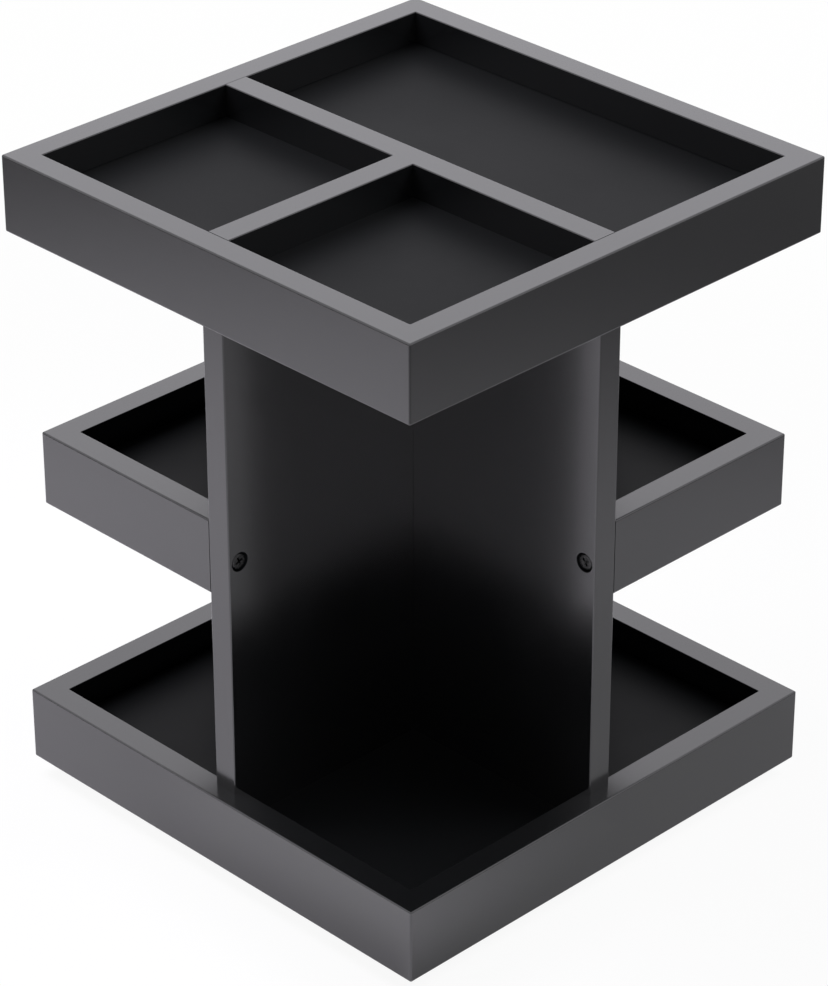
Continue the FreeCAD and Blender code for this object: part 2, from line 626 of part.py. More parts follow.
# Each middle tray is drawn in the back right corner, and the front left one is turned half round.
def addMiddleSideWall(label, turn):
    body = newPiece(label, z=middleTray["under"], turn=turn)
    plan = rectangle(body, "Plan", "XY_Plane", "Derived.middleHalf", "Derived.panelHalf",
                     "Sizes.panelThickness / 2", "Derived.panelHalf")
    extrude(body, "Board", plan, middleTray["wallHeight"])
    outer = valueOf("Derived.panelHalf")
    sanded(body, "Rounds", "Sizes.edgeRound",
           lambda edge: (isLevel(edge) and (liesAt(edge, "X", outer) or liesAt(edge, "Y", outer)))
           or (liesAt(edge, "X", outer) and liesAt(edge, "Y", outer)))
    grooveEnd = "(Derived.middleHalf + %s)" % middleTray["tongue"]
    groove = rectangle(body, "GrooveShape", "XY_Plane", "Derived.middleHalf", grooveEnd,
                       "Sizes.panelThickness / 2", grooveEnd, middleTray["grooveLow"])
    grooveHeight = "Sizes.middleFloorThickness + Sizes.grooveClearance"
    cut(body, "Groove", groove, grooveHeight, otherWay=True)
    for name, up, inUp in (("TopArris", middleTray["wallHeight"], -1), ("LowArris", "0", 1)):
        easedArris(body, name, "XZ_Plane", "Derived.middleHalf", up, (1, inUp),
                   "Derived.middleHalf - Sizes.panelThickness / 2", "-Sizes.panelThickness / 2")
    centres = [("Derived.wallScrewPlace", middleTray["lowDowel"]),
               ("Derived.wallScrewPlace", middleTray["highDowel"])]
    holes = circles(body, "DowelCentres", "YZ_Plane", centres, dowelHole, "Derived.middleHalf")
    cut(body, "DowelHoles", holes, faceHoleDepth, otherWay=True)
    addWallScrewPilot(body, "XZ_Plane", "-Sizes.panelThickness / 2", False)
    return body


def addMiddleEndWall(label, turn):
    body = newPiece(label, z=middleTray["under"], turn=turn)
    plan = rectangle(body, "Plan", "XY_Plane", "Sizes.panelThickness / 2", "Derived.middleHalf",
                     "Derived.middleHalf", "Derived.panelHalf")
    extrude(body, "Board", plan, middleTray["wallHeight"])
    outer = valueOf("Derived.panelHalf")
    sanded(body, "Rounds", "Sizes.edgeRound", lambda edge: isLevel(edge) and liesAt(edge, "Y", outer))
    groove = rectangle(body, "GrooveShape", "XY_Plane", "Sizes.panelThickness / 2", "Derived.middleHalf",
                       "Derived.middleHalf", "Derived.middleHalf + " + middleTray["tongue"],
                       middleTray["grooveLow"])
    grooveHeight = "Sizes.middleFloorThickness + Sizes.grooveClearance"
    cut(body, "Groove", groove, grooveHeight, otherWay=True)
    for name, up, inUp in (("TopArris", middleTray["wallHeight"], -1), ("LowArris", "0", 1)):
        easedArris(body, name, "YZ_Plane", "Derived.middleHalf", up, (1, inUp),
                   "Derived.middleHalf - Sizes.panelThickness / 2", "Sizes.panelThickness / 2",
                   otherWay=True)
    centres = [("Derived.wallScrewPlace", middleTray["lowDowel"]),
               ("Derived.wallScrewPlace", middleTray["highDowel"])]
    holes = circles(body, "DowelCentres", "YZ_Plane", centres, dowelHole, "Derived.middleHalf")
    cut(body, "DowelHoles", holes, endHoleDepth)
    addWallScrewPilot(body, "YZ_Plane", "Sizes.panelThickness / 2", True)
    return body


# The hole in the end of a middle wall, where it meets a panel, for the screw that comes through.
def addWallScrewPilot(body, role, away, otherWay):
    centre = [("Derived.wallScrewPlace", "Sizes.middleWallHeight / 2")]
    pilot = circles(body, "ScrewCentre", role, centre, screwHole, away)
    depth = "Sizes.screwLength + Sizes.screwHeadRecess - Sizes.panelThickness + Sizes.screwEndGap"
    cut(body, "ScrewHole", pilot, depth, otherWay=otherWay)


# The middle floor's inner corner is notched round the crossing of the panels.
def addMiddleFloor(label, turn):
    body = newPiece(label, z="Derived.middleFloorUnder", turn=turn)
    inner = "Sizes.panelThickness / 2 - Sizes.dadoDepth + Sizes.grooveClearance"
    outer = "Derived.middleHalf + Sizes.middleFloorTongue - Sizes.grooveClearance"
    notch = "Sizes.panelThickness / 2 + Sizes.lapClearance + Sizes.grooveClearance"
    corners = [
        (notch, inner),
        (outer, inner),
        (outer, outer),
        (inner, outer),
        (inner, notch),
        (notch, notch),
    ]
    extrude(body, "Board", outline(body, "Plan", "XY_Plane", corners), "Sizes.middleFloorThickness")
    return body


# Half the section of a countersunk screw on an axis, from its head to its point.
def screwSection(axisPlace, towards):
    away = "+" if towards > 0 else "-"
    headRadius = "Sizes.screwHeadDiameter / 2"
    radius = "Sizes.screwDiameter / 2"
    tipRadius = "Sizes.screwDiameter / 10"
    start = "Sizes.screwHeadRecess"
    rim = "%s + Sizes.screwHeadRim" % start
    neck = "%s + %s - %s" % (rim, headRadius, radius)
    tip = "%s + Sizes.screwLength" % start
    shape = [
        ("0", start),
        (headRadius, start),
        (headRadius, rim),
        (radius, neck),
        (radius, "%s - Sizes.screwPointLength" % tip),
        (tipRadius, tip),
        ("0", tip),
    ]
    return [("%s + %s" % (axisPlace, out), "%s(%s)" % (away, along)) for out, along in shape]


# A cross slot sunk into a screw head, drawn about the screw's axis on the head's plane.
def addCross(body, name, role, across, up, away, depth, otherWay):
    reach = "Sizes.crossLength / 2"
    arm = "Sizes.crossWidth / 2"
    signed = [
        (arm, reach),
        ("-" + arm, reach),
        ("-" + arm, arm),
        ("-" + reach, arm),
        ("-" + reach, "-" + arm),
        ("-" + arm, "-" + arm),
        ("-" + arm, "-" + reach),
        (arm, "-" + reach),
        (arm, "-" + arm),
        (reach, "-" + arm),
        (reach, arm),
        (arm, arm),
    ]
    corners = [("%s + (%s)" % (across, right), "%s + (%s)" % (up, high)) for right, high in signed]
    return cut(body, name, outline(body, name + "Shape", role, corners, away), depth, otherWay=otherWay)


# The four screws that show in the tall bays: through a panel into the end of a middle tray's wall.
def addTrayWallScrews():
    body = newPiece("tray_wall_screws", z="Derived.wallScrewLevel")
    face = "Sizes.panelThickness / 2"
    place = "Derived.wallScrewPlace"
    turnedAlongY = [(across, "-%s + %s" % (face, up)) for across, up in screwSection(place, 1)]
    right = turned(body, "RightScrew", "XY_Plane", turnedAlongY)
    headPlane = "%s - Sizes.screwHeadRecess" % face
    depth = "Sizes.crossDepth"
    rightCross = addCross(body, "RightCross", "XZ_Plane", place, "0", headPlane, depth, False)
    turnedAlongX = [("%s %s" % (face, along), "-(%s)" % out) for out, along in screwSection(place, -1)]
    front = turned(body, "FrontScrew", "XY_Plane", turnedAlongX)
    frontCross = addCross(body, "FrontCross", "YZ_Plane", "-" + place, "0", headPlane, depth, False)
    aroundAxis(body, "Group", [right, rightCross, front, frontCross], 2)
    return body


# The screws that come up through the bottom floor into the panels' feet.
def addPanelFootScrews():
    body = newPiece("panel_foot_screws", z="Derived.bottomFloorUnder")
    screw = turned(body, "Screw", "XZ_Plane", screwSection("Derived.footScrewPlace", 1))
    cross = addCross(body, "Cross", "XY_Plane", "Derived.footScrewPlace", "0", "Sizes.screwHeadRecess",
                     "Sizes.crossDepth", True)
    aroundAxis(body, "Group", [screw, cross], 4)
    return body


# A pressed plate of the bearing, drawn from the bearing's underside. The bead carries the ball track.
# level() turns a height above the plate's outer face into a height in the bearing.
def addBearingPlate(label, upper):
    body = newPiece(label, z="Derived.discTop")

    def level(height):
        return "Derived.bearingHeight - (%s)" % height if upper else height

    sheet = "Sizes.sheetThickness"
    half = "Sizes.plateWidth / 2"
    plan = rectangle(body, "Plan", "XY_Plane", "-" + half, half, "-" + half, half, level("0"))
    extrude(body, "Sheet", plan, sheet, otherWay=upper)
    sanded(body, "Corners", "Sizes.plateCornerRadius", lambda edge: not isLevel(edge))
    corner = "Derived.plateHolePlace"
    holeWidth = "Sizes.plateHoleDiameter"
    centre = circles(body, "HoleCentre", "XY_Plane", [(corner, corner)], holeWidth, level("0"))
    hole = cut(body, "Hole", centre, sheet, otherWay=not upper)
    aroundAxis(body, "Holes", [hole], 4)
    middleWidth = "Sizes.plateWidth - 2 * Sizes.sheetThickness"
    middle = circles(body, "MiddleShape", "XY_Plane", [("0", "0")], middleWidth, level("0"))
    cut(body, "Middle", middle, sheet, otherWay=not upper)

    pitch = "Sizes.racePitchRadius"
    flatTop = sheet
    beadTop = "Derived.beadTop"
    beadUnder = "Derived.beadHeight"
    slope = "Derived.beadHeight"
    bend = "Sizes.sheetThickness * tan(22.5 deg)"
    track = "Derived.trackRadius"
    back = "(Derived.trackRadius + Sizes.sheetThickness)"
    trackHalf = "sqrt(%s ^ 2 - (Derived.ballLevel - %s) ^ 2)" % (track, beadTop)
    backHalf = "sqrt(%s ^ 2 - (Derived.ballLevel - %s) ^ 2)" % (back, beadUnder)
    beadHalf = "Derived.beadHalfWidth"
    rim = "Sizes.plateWidth / 2 - Sizes.sheetThickness / 2"
    facing = [
        ("%s - %s - %s" % (pitch, beadHalf, slope), flatTop),
        ("%s - %s" % (pitch, beadHalf), beadTop),
        ("%s - %s" % (pitch, trackHalf), beadTop),
        ("%s + %s" % (pitch, trackHalf), beadTop),
        ("%s + %s" % (pitch, beadHalf), beadTop),
        ("%s + %s + %s" % (pitch, beadHalf, slope), flatTop),
        (rim, flatTop),
    ]
    outside = [
        (rim, "0"),
        ("%s + %s + %s - %s" % (pitch, beadHalf, slope, bend), "0"),
        ("%s + %s - %s" % (pitch, beadHalf, bend), beadUnder),
        ("%s + %s" % (pitch, backHalf), beadUnder),
        ("%s - %s" % (pitch, backHalf), beadUnder),
        ("%s - %s + %s" % (pitch, beadHalf, bend), beadUnder),
        ("%s - %s - %s + %s" % (pitch, beadHalf, slope, bend), "0"),
    ]
    hub = upperHub() if upper else [("Sizes.hubRadius + Sizes.hubClearance", "0"),
                                    ("Sizes.hubRadius + Sizes.hubClearance", sheet)]
    corners = [(out, level(up)) for out, up in facing + outside + hub]
    arcs = {
        2: (pitch, "Derived.ballLevel", track, not upper),
        len(facing) + 3: (pitch, "Derived.ballLevel", back, upper),
    }
    section = outline(body, "PressedSection", "XZ_Plane", corners, arcs=arcs)
    pressed = body.newObject("PartDesign::Revolution", body.Name + "Pressed")
    pressed.Profile = section
    pressed.ReferenceAxis = (section, ["V_Axis"])
    pressed.Angle = 360
    doc.recompute()
    return body


# The upper plate's hub is drawn down through the lower plate and flared below it, which holds the two
# together. Heights are counted from the upper plate's outer face, as the rest of its section.
def upperHub():
    sheet = "Sizes.sheetThickness"
    inner = "Sizes.hubRadius - %s" % sheet
    bend = "Sizes.sheetThickness * tan(22.5 deg)"
    flangeTop = "Derived.bearingHeight + Sizes.hubClearance"
    flangeLow = "%s + %s" % (flangeTop, sheet)
    flangeEdge = "Sizes.hubRadius + Sizes.hubFlange"
    return [
        ("Sizes.hubRadius + Sizes.hubBend - %s" % bend, "0"),
        (inner, "%s + Sizes.hubBend - %s" % (sheet, bend)),
        (inner, "%s - %s" % (flangeLow, "Sizes.sheetThickness")),
        ("Sizes.hubRadius", flangeLow),
        (flangeEdge, flangeLow),
        (flangeEdge, flangeTop),
        ("Sizes.hubRadius", flangeTop),
        ("Sizes.hubRadius", "%s + Sizes.hubBend" % sheet),
        ("Sizes.hubRadius + Sizes.hubBend", sheet),
    ]


def addBallCage():
    body = newPiece("ball_cage", z="Derived.discTop + Derived.ballLevel")
    centre = [("0", "0")]
    outsideWidth = "2 * (Sizes.racePitchRadius + Derived.cageHalfWidth)"
    insideWidth = "2 * (Sizes.racePitchRadius - Derived.cageHalfWidth)"
    outside = circles(body, "OutsideShape", "XY_Plane", centre, outsideWidth)
    extrude(body, "Disc", outside, "Sizes.cageThickness", bothWays=True)
    inside = circles(body, "InsideShape", "XY_Plane", centre, insideWidth)
    cut(body, "Inside", inside, bothWays=True)
    pocket = circles(body, "PocketShape", "XY_Plane", [("Sizes.racePitchRadius", "0")],
                     "Sizes.ballDiameter + Sizes.pocketPlay")
    aroundAxis(body, "Pockets", [cut(body, "Pocket", pocket, bothWays=True)], "Sizes.ballCount")
    return body


def addBalls():
    body = newPiece("bearing_balls", z="Derived.discTop + Derived.ballLevel")
    radius = "Sizes.ballDiameter / 2"
    ends = [("Sizes.racePitchRadius", "-" + radius), ("Sizes.racePitchRadius", radius)]
    arcs = {0: ("Sizes.racePitchRadius", "0", radius, True)}
    ball = turned(body, "Ball", "XZ_Plane", ends, arcs=arcs)
    aroundAxis(body, "Ring", [ball], "Sizes.ballCount")
    return body


# The short pan head screws: the lower ones go down into the base board, the upper ones up into the floor.
def addPlateScrews(label, upper):
    body = newPiece(label, z="Derived.discTop")

    def level(height):
        return "Derived.bearingHeight - (%s)" % height if upper else height

    place = "Derived.plateHolePlace"
    headRadius = "Sizes.plateScrewHeadDiameter / 2"
    radius = "Sizes.plateScrewDiameter / 2"
    seat = "Sizes.sheetThickness"
    headTop = "%s + Sizes.plateScrewHeadHeight" % seat
    shape = [
        ("0", "-Sizes.plateScrewDepth"),
        ("Sizes.plateScrewDiameter / 10", "-Sizes.plateScrewDepth"),
        (radius, "Sizes.plateScrewPointLength - Sizes.plateScrewDepth"),
        (radius, seat),
        (headRadius, seat),
        (headRadius, "%s - Sizes.plateScrewHeadCrown" % headTop),
        ("%s - Sizes.plateScrewHeadCrown" % headRadius, headTop),
        ("0", headTop),
    ]
    corners = [("%s + %s" % (place, out), level(up)) for out, up in shape]
    screw = turned(body, "Screw", "XZ_Plane", corners, "-" + place)
    depth = "Sizes.plateCrossDepth"
    cross = addCross(body, "Cross", "XY_Plane", place, place, level(headTop), depth, upper)
    aroundAxis(body, "Group", [screw, cross], 4)
    return body


def addBaseDisc():
    body = newPiece("base_disc", z="Sizes.footHeight")
    plan = circles(body, "Plan", "XY_Plane", [("0", "0")], "2 * Derived.discRadius")
    extrude(body, "Board", plan, "Sizes.discThickness")
    sanded(body, "Rounds", "Sizes.discRound", isLevel)
    cut(body, "HubHole", circles(body, "HubShape", "XY_Plane", [("0", "0")], "2 * Derived.hubHoleRadius"),
        otherWay=True)
    accessPlace = "Derived.plateHolePlace * sqrt(2)"
    access = circles(body, "AccessShape", "XY_Plane", [(accessPlace, "0")], "Sizes.accessHoleDiameter")
    cut(body, "AccessHole", access, otherWay=True)
    corner = "Derived.plateHolePlace"
    thickness = "Sizes.discThickness"
    pilot = circles(body, "PilotCentre", "XY_Plane", [(corner, corner)], plateScrewHole, thickness)
    hole = cut(body, "PilotHole", pilot, "Sizes.plateScrewDepth + Sizes.screwEndGap")
    aroundAxis(body, "PilotHoles", [hole], 4)
    return body


def addFoot(label, right, back):
    place = "%s Derived.footPlace"
    body = newPiece(label, x=place % right, y=place % back)
    radius = "Sizes.footDiameter / 2"
    turned(body, "Pad", "XZ_Plane", [
        ("0", "0"),
        ("%s - Sizes.footChamfer" % radius, "0"),
        (radius, "Sizes.footChamfer"),
        (radius, "Sizes.footHeight"),
        ("0", "Sizes.footHeight"),
    ])
    return body


for word, tray in (("bottom", bottomTray), ("top", topTray)):
    addSideWall(word + "_right_wall", tray, 0)
    addSideWall(word + "_left_wall", tray, 180)
    addEndWall(word + "_front_wall", tray, 0)
    addEndWall(word + "_back_wall", tray, 180)
    addCornerDowels(word + "_corner_dowels", tray, "Derived.recessHalf",
                    "Derived.trayHalf - Sizes.wallThickness / 2", True)
addBottomFloor()
addTopFloor()
sidePlaces = [("Derived.topDowelPlace", "0"), ("-Derived.topDowelPlace", "0")]
addLongDivider(sidePlaces)
addShortDivider([("0", "-Derived.topDowelPlace")])
addTopDowels()
addPanel("side_to_side_panel", 1, False, sidePlaces, 0)
addPanel("front_to_back_panel", -1, True, sidePlaces[1:], 90)
for word, sideWord, endWord, turn in (("back_right_tray", "right", "back", 0),
                                      ("front_left_tray", "left", "front", 180)):
    addMiddleSideWall("%s_%s_wall" % (word, sideWord), turn)
    addMiddleEndWall("%s_%s_wall" % (word, endWord), turn)
    addMiddleFloor(word + "_floor", turn)
    wallMiddle = "-Derived.wallScrewPlace"
    addCornerDowels(word + "_dowels", middleTray, "Derived.middleHalf", wallMiddle, False, turn)
addTrayWallScrews()
addPanelFootScrews()
addBearingPlate("bearing_upper_plate", True)
addPlateScrews("upper_plate_screws", True)
addBallCage()
addBalls()
addBearingPlate("bearing_lower_plate", False)
addPlateScrews("lower_plate_screws", False)
addBaseDisc()
for frontWord, back in (("front", "-"), ("back", "+")):
    for sideWord, right in (("right", "+"), ("left", "-")):
        addFoot("foot_%s_%s" % (frontWord, sideWord), right, back)
doc.recompute()

failed = [item.Name for item in doc.Objects if "Invalid" in item.State or "Error" in item.State]
failed += [body.Label for body in pieces if body.Shape.isNull() or not body.Shape.isValid()]
if failed:
    raise RuntimeError("failed: " + ", ".join(failed))

os.makedirs("parts", exist_ok=True)
for body in pieces:
    body.Shape.exportStep("parts/%s.step" % body.Label)
    print(body.Label, len(body.Shape.Solids), "solids", round(body.Shape.Volume, 1), "mm3")
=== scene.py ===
import math

import bmesh
import bpy
from mathutils import Matrix, Vector


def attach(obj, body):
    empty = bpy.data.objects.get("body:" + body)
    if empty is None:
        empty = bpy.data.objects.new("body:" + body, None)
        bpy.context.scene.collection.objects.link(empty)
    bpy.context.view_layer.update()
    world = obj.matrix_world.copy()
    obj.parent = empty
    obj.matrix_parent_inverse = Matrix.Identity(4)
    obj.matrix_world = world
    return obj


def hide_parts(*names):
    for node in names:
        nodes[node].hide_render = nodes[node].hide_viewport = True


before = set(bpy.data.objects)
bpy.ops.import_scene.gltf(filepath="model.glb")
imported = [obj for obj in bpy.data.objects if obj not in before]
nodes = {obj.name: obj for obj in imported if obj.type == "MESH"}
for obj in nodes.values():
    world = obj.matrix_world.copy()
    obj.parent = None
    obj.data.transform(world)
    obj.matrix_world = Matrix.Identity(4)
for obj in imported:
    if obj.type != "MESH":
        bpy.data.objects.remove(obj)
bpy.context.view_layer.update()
print("loaded", len(nodes), "pieces of the stand")

white = (1, 1, 1, 1)


def grey(value, warmth=0.0):
    return (value * (1 + warmth), value, value * (1 - warmth), 1)


class Wire:
    # a socket of a material under construction; arithmetic on it adds Math nodes
    def __init__(self, finish, socket):
        self.finish = finish
        self.socket = socket

    def maths(self, operation, *values, clamp=False):
        return self.finish.node("ShaderNodeMath", {"operation": operation, "use_clamp": clamp},
                                dict(enumerate(values)))

    def __add__(self, other):
        return self.maths("ADD", self, other)

    def __radd__(self, other):
        return self.maths("ADD", other, self)

    def __sub__(self, other):
        return self.maths("SUBTRACT", self, other)

    def __rsub__(self, other):
        return self.maths("SUBTRACT", other, self)

    def __mul__(self, other):
        return self.maths("MULTIPLY", self, other)

    def __rmul__(self, other):
        return self.maths("MULTIPLY", other, self)

    def __truediv__(self, other):
        return self.maths("DIVIDE", self, other)

    def __rtruediv__(self, other):
        return self.maths("DIVIDE", other, self)

    def __pow__(self, other):
        return self.maths("POWER", self, other)

    def __rpow__(self, other):
        return self.maths("POWER", other, self)

    def __abs__(self):
        return self.maths("ABSOLUTE", self)

    def higher(self, other):
        return self.maths("MAXIMUM", self, other)

    def held(self):
        # kept between 0 and 1
        return self.maths("ADD", self, 0.0, clamp=True)

    def rising(self, start, end):
        # 0 at start, 1 at end and smooth between them
        return self.finish.node("ShaderNodeMapRange", {"interpolation_type": "SMOOTHSTEP"},
                                {"Value": self, "From Min": start, "From Max": end})


class Finish:
    # a material or the world, and its nodes
    def __init__(self, owner):
        self.owner = owner
        self.owner.use_nodes = True
        self.tree = self.owner.node_tree
        self.tree.nodes.clear()

    def node(self, kind, settings=None, sockets=None, out=0):
        made = self.tree.nodes.new(kind)
        for word, value in (settings or {}).items():
            setattr(made, word, value)
        for word, value in (sockets or {}).items():
            if isinstance(value, Wire):
                self.tree.links.new(value.socket, made.inputs[word])
            else:
                made.inputs[word].default_value = value
        return Wire(self, made.outputs[out] if made.outputs else None)

    def place(self, scale=(1, 1, 1), move=(0, 0, 0)):
        point = self.node("ShaderNodeTexCoord", out=3)
        return self.node("ShaderNodeMapping", {}, {"Vector": point, "Location": move, "Scale": scale})

    def along(self, grain, share, move=(0, 0, 0)):
        # the pattern drawn out along the grain
        stretch = [1.0, 1.0, 1.0]
        stretch["xyz".index(grain)] = share
        return self.place(tuple(stretch), move)

    def axes(self, where):
        split = self.node("ShaderNodeSeparateXYZ", {}, {0: where}).socket.node
        return [Wire(self, out) for out in split.outputs]

    def rays(self):
        # whether a ray comes from the camera, from a gloss or through something clear
        outputs = self.node("ShaderNodeLightPath").socket.node.outputs
        return [Wire(self, outputs["Is %s Ray" % word]) for word in ("Camera", "Glossy", "Transmission")]

    def noise(self, where, scale, detail, roughness, distortion=0.0):
        return self.node("ShaderNodeTexNoise", {}, {
            "Vector": where, "Scale": scale, "Detail": detail, "Roughness": roughness,
            "Distortion": distortion})

    def cells(self, where, scale):
        # the distance from the middle of the nearest cell
        return self.node("ShaderNodeTexVoronoi", {}, {"Vector": where, "Scale": scale})

    def blend(self, factor, first, second):
        return self.node("ShaderNodeMix", {"data_type": "RGBA"}, {0: factor, 6: first, 7: second}, out=2)

    def bump(self, height, distance):
        return self.node("ShaderNodeBump", {}, {"Height": height, "Distance": distance, "Strength": 1.0})

    def surface(self, sockets):
        shader = self.node("ShaderNodeBsdfPrincipled", {}, sockets)
        self.node("ShaderNodeOutputMaterial", {}, {"Surface": shader})
        return self.owner


def newMaterial(name):
    return Finish(bpy.data.materials.new(name))


def coatNode(name, material):
    for slot in nodes[name].material_slots:
        slot.material = material


# black paint: satin on walls, panels, dividers and the round base, a flatter black on the tray floors
satin = {
    "dark": grey(0.003, -0.08),
    "light": grey(0.005, -0.06),
    "roughness": 0.20,
    "wander": 0.05,  # how far the roughness drifts
    "coat": 1.0,
    "coatRoughness": 0.15,
    "index": 1.5,
    "specular": 0.5,
    "grain": 0.10,  # share of the bump that is wood grain
    "film": 0.16,  # share that is sprayed film
    "relief": 0.00002,  # metres
}
flat = dict(satin, roughness=0.42, coat=0.0, specular=0.10, grain=0.05, film=0.45, relief=0.00003)

# a noise is given by its scale, detail and roughness
paint = {
    "grainNoise": (380.0, 4.0, 0.6),
    "grainStretch": 0.05,
    "grainShift": (0.31, 0.17, 0.23),  # times the board's number, so that no two boards match
    "grainRough": 0.02,
    "filmNoise": (300.0, 2.0, 0.45),
    "cloudNoise": (9.0, 3.0, 0.5),
    "wipedNoise": (24.0, 3.0, 0.5),
    "wipedStretch": (1, 1, 0.6),
    "wipedShift": (3.1, 1.7, 0.4),
    "wipedRange": (0.40, 0.75),
    "wipedRough": 0.03,
    "nibScale": 90.0,  # specks of dust under the film
    "nibRange": (0.035, 0.012),
    "nibColour": grey(0.03),
    "nibTint": 0.3,
    "nibHeight": 0.5,
}

# painted shade: the cone of a countersunk screw hole is kept dead black, with no reflection, for the
# shaded gap around the sunk head
screwHoles = {
    "radius": 0.00442,
    "edge": 0.0001,
    "height": 0.1565,
    "side": 0.1065,
    "rougher": 0.4,
    "across": {"front_to_back_panel": 1, "side_to_side_panel": 0},  # the axis along the panel
}

# the axis that each board's grain follows
boards = {
    "bottom_front_wall": "x", "bottom_back_wall": "x",
    "bottom_left_wall": "y", "bottom_right_wall": "y", "bottom_floor": "x",
    "front_to_back_panel": "z", "side_to_side_panel": "z",
    "top_front_wall": "x", "top_back_wall": "x",
    "top_left_wall": "y", "top_right_wall": "y", "top_floor": "x",
    "long_divider": "x", "short_divider": "y",
    "front_left_tray_left_wall": "y", "front_left_tray_front_wall": "x", "front_left_tray_floor": "x",
    "back_right_tray_right_wall": "y", "back_right_tray_back_wall": "x", "back_right_tray_floor": "x",
    "base_disc": "x",
}


def blackPaint(name, look, grain, seed, holes):
    finish = newMaterial(name)
    plain = finish.place()
    shift = tuple(step * seed for step in paint["grainShift"])
    fibres = finish.noise(finish.along(grain, paint["grainStretch"], shift), *paint["grainNoise"])
    film = finish.noise(plain, *paint["filmNoise"])
    cloud = finish.noise(plain, *paint["cloudNoise"])
    wiped = finish.noise(finish.place(paint["wipedStretch"], paint["wipedShift"]), *paint["wipedNoise"])
    wiped = wiped.rising(*paint["wipedRange"])
    nib = finish.cells(plain, paint["nibScale"]).rising(*paint["nibRange"])
    colour = finish.blend(cloud, look["dark"], look["light"])
    colour = finish.blend(nib * paint["nibTint"], colour, paint["nibColour"])
    rough = (look["roughness"] + (cloud - 0.5) * look["wander"] + wiped * paint["wipedRough"]
             + fibres * paint["grainRough"])
    height = fibres * look["grain"] + film * look["film"] + nib * paint["nibHeight"]
    coatWeight, metallic = look["coat"], 0.0
    if holes:
        point = finish.axes(plain)
        radius, edge = screwHoles["radius"], screwHoles["edge"]
        for across, side in holes:
            out = ((point[across] - side) ** 2 + (point[2] - screwHoles["height"]) ** 2) ** 0.5
            # painted shade: inside the cone the coat is taken off and the surface turns to near black
            # metal, which reflects nothing
            paintedShadeCone = out.rising(radius + edge, radius - edge)
            rough = rough + paintedShadeCone * screwHoles["rougher"]
            coatWeight = coatWeight - paintedShadeCone
            metallic = paintedShadeCone + metallic  # metal of a near black colour throws nothing back
        coatWeight, metallic = coatWeight.held(), metallic.held()
    return finish.surface({
        "Base Color": colour, "Roughness": rough, "Metallic": metallic, "IOR": look["index"],
        "Specular IOR Level": look["specular"], "Coat Weight": coatWeight,
        "Coat Roughness": look["coatRoughness"], "Coat IOR": look["index"],
        "Normal": finish.bump(height, look["relief"])})


def paintBoards():
    for seed, (name, grain) in enumerate(boards.items(), 1):
        look = flat if name.endswith("_floor") else satin
        holes = []
        if name in screwHoles["across"]:
            holes = [(screwHoles["across"][name], side * screwHoles["side"]) for side in (1, -1)]
        coatNode(name, blackPaint("blackPaint." + name, look, grain, seed, holes))


paintBoards()
print("painted", len(boards), "boards")

oxideLook = {
    "cloudNoise": (700.0, 4.0, 0.6),
    "rubbedNoise": (2400.0, 3.0, 0.6),
    "rubbedRange": (0.58, 0.78),
    "dark": grey(0.034, -0.04),
    "light": grey(0.060, 0.03),
    "rubbed": grey(0.11),
    "rubbedShare": 0.3,
    "metallic": 0.85,
    "roughness": 0.22,
    "cloudRough": 0.12,
    "rubbedSmooth": 0.06,
    "cloudHeight": 0.6,
    "rubbedHeight": 0.4,
    "relief": 0.00002,
}


def blackOxide(look):
    finish = newMaterial("blackOxide")
    plain = finish.place()
    cloud = finish.noise(plain, *look["cloudNoise"])
    rubbed = finish.noise(plain, *look["rubbedNoise"]).rising(*look["rubbedRange"])
    colour = finish.blend(cloud, look["dark"], look["light"])
    colour = finish.blend(rubbed * look["rubbedShare"], colour, look["rubbed"])
    height = cloud * look["cloudHeight"] + rubbed * look["rubbedHeight"]
    return finish.surface({
        "Base Color": colour, "Metallic": look["metallic"],
        "Roughness": look["roughness"] + cloud * look["cloudRough"] - rubbed * look["rubbedSmooth"],
        "Normal": finish.bump(height, look["relief"])})


zincLook = {
    "rolledNoise": (900.0, 3.0, 0.6),
    "rolledStretch": 0.04,
    "cloudNoise": (60.0, 4.0, 0.55),
    "spangleScale": 260.0,
    "spangleShare": 2.4,
    "dark": (0.52, 0.54, 0.57, 1),
    "light": (0.66, 0.67, 0.67, 1),
    "spangle": (0.58, 0.585, 0.56, 1),
    "trackRadius": 0.036,  # the balls have polished a ring into the track
    "trackWidth": 0.0016,
    "trackSmooth": 0.18,
    "roughness": 0.34,
    "cloudRough": 0.14,
    "rolledRough": 0.06,
    "rolledHeight": 0.5,
    "cloudHeight": 0.3,
    "relief": 0.00002,
}


def zincSteel(look):
    finish = newMaterial("zincSteel")
    plain = finish.place()
    rolled = finish.noise(finish.along("x", look["rolledStretch"]), *look["rolledNoise"])
    spangle = finish.cells(plain, look["spangleScale"])
    cloud = finish.noise(plain, *look["cloudNoise"])
    point = finish.axes(plain)
    out = (point[0] ** 2 + point[1] ** 2) ** 0.5
    worn = (1.0 - abs(out - look["trackRadius"]) / look["trackWidth"]).held()
    colour = finish.blend(cloud, look["dark"], look["light"])
    colour = finish.blend(spangle * look["spangleShare"], colour, look["spangle"])
    rough = (look["roughness"] + (cloud - 0.5) * look["cloudRough"] + rolled * look["rolledRough"]
             - worn * look["trackSmooth"])
    height = rolled * look["rolledHeight"] + cloud * look["cloudHeight"]
    return finish.surface({
        "Base Color": colour, "Metallic": 1.0, "Roughness": rough.held(),
        "Normal": finish.bump(height, look["relief"])})


ballLook = {
    "smearNoise": (480.0, 3.0, 0.55),
    "dark": (0.70, 0.70, 0.71, 1),
    "light": (0.80, 0.80, 0.79, 1),
    "roughness": 0.07,
    "smearRough": 0.10,
    "relief": 0.000004,
}


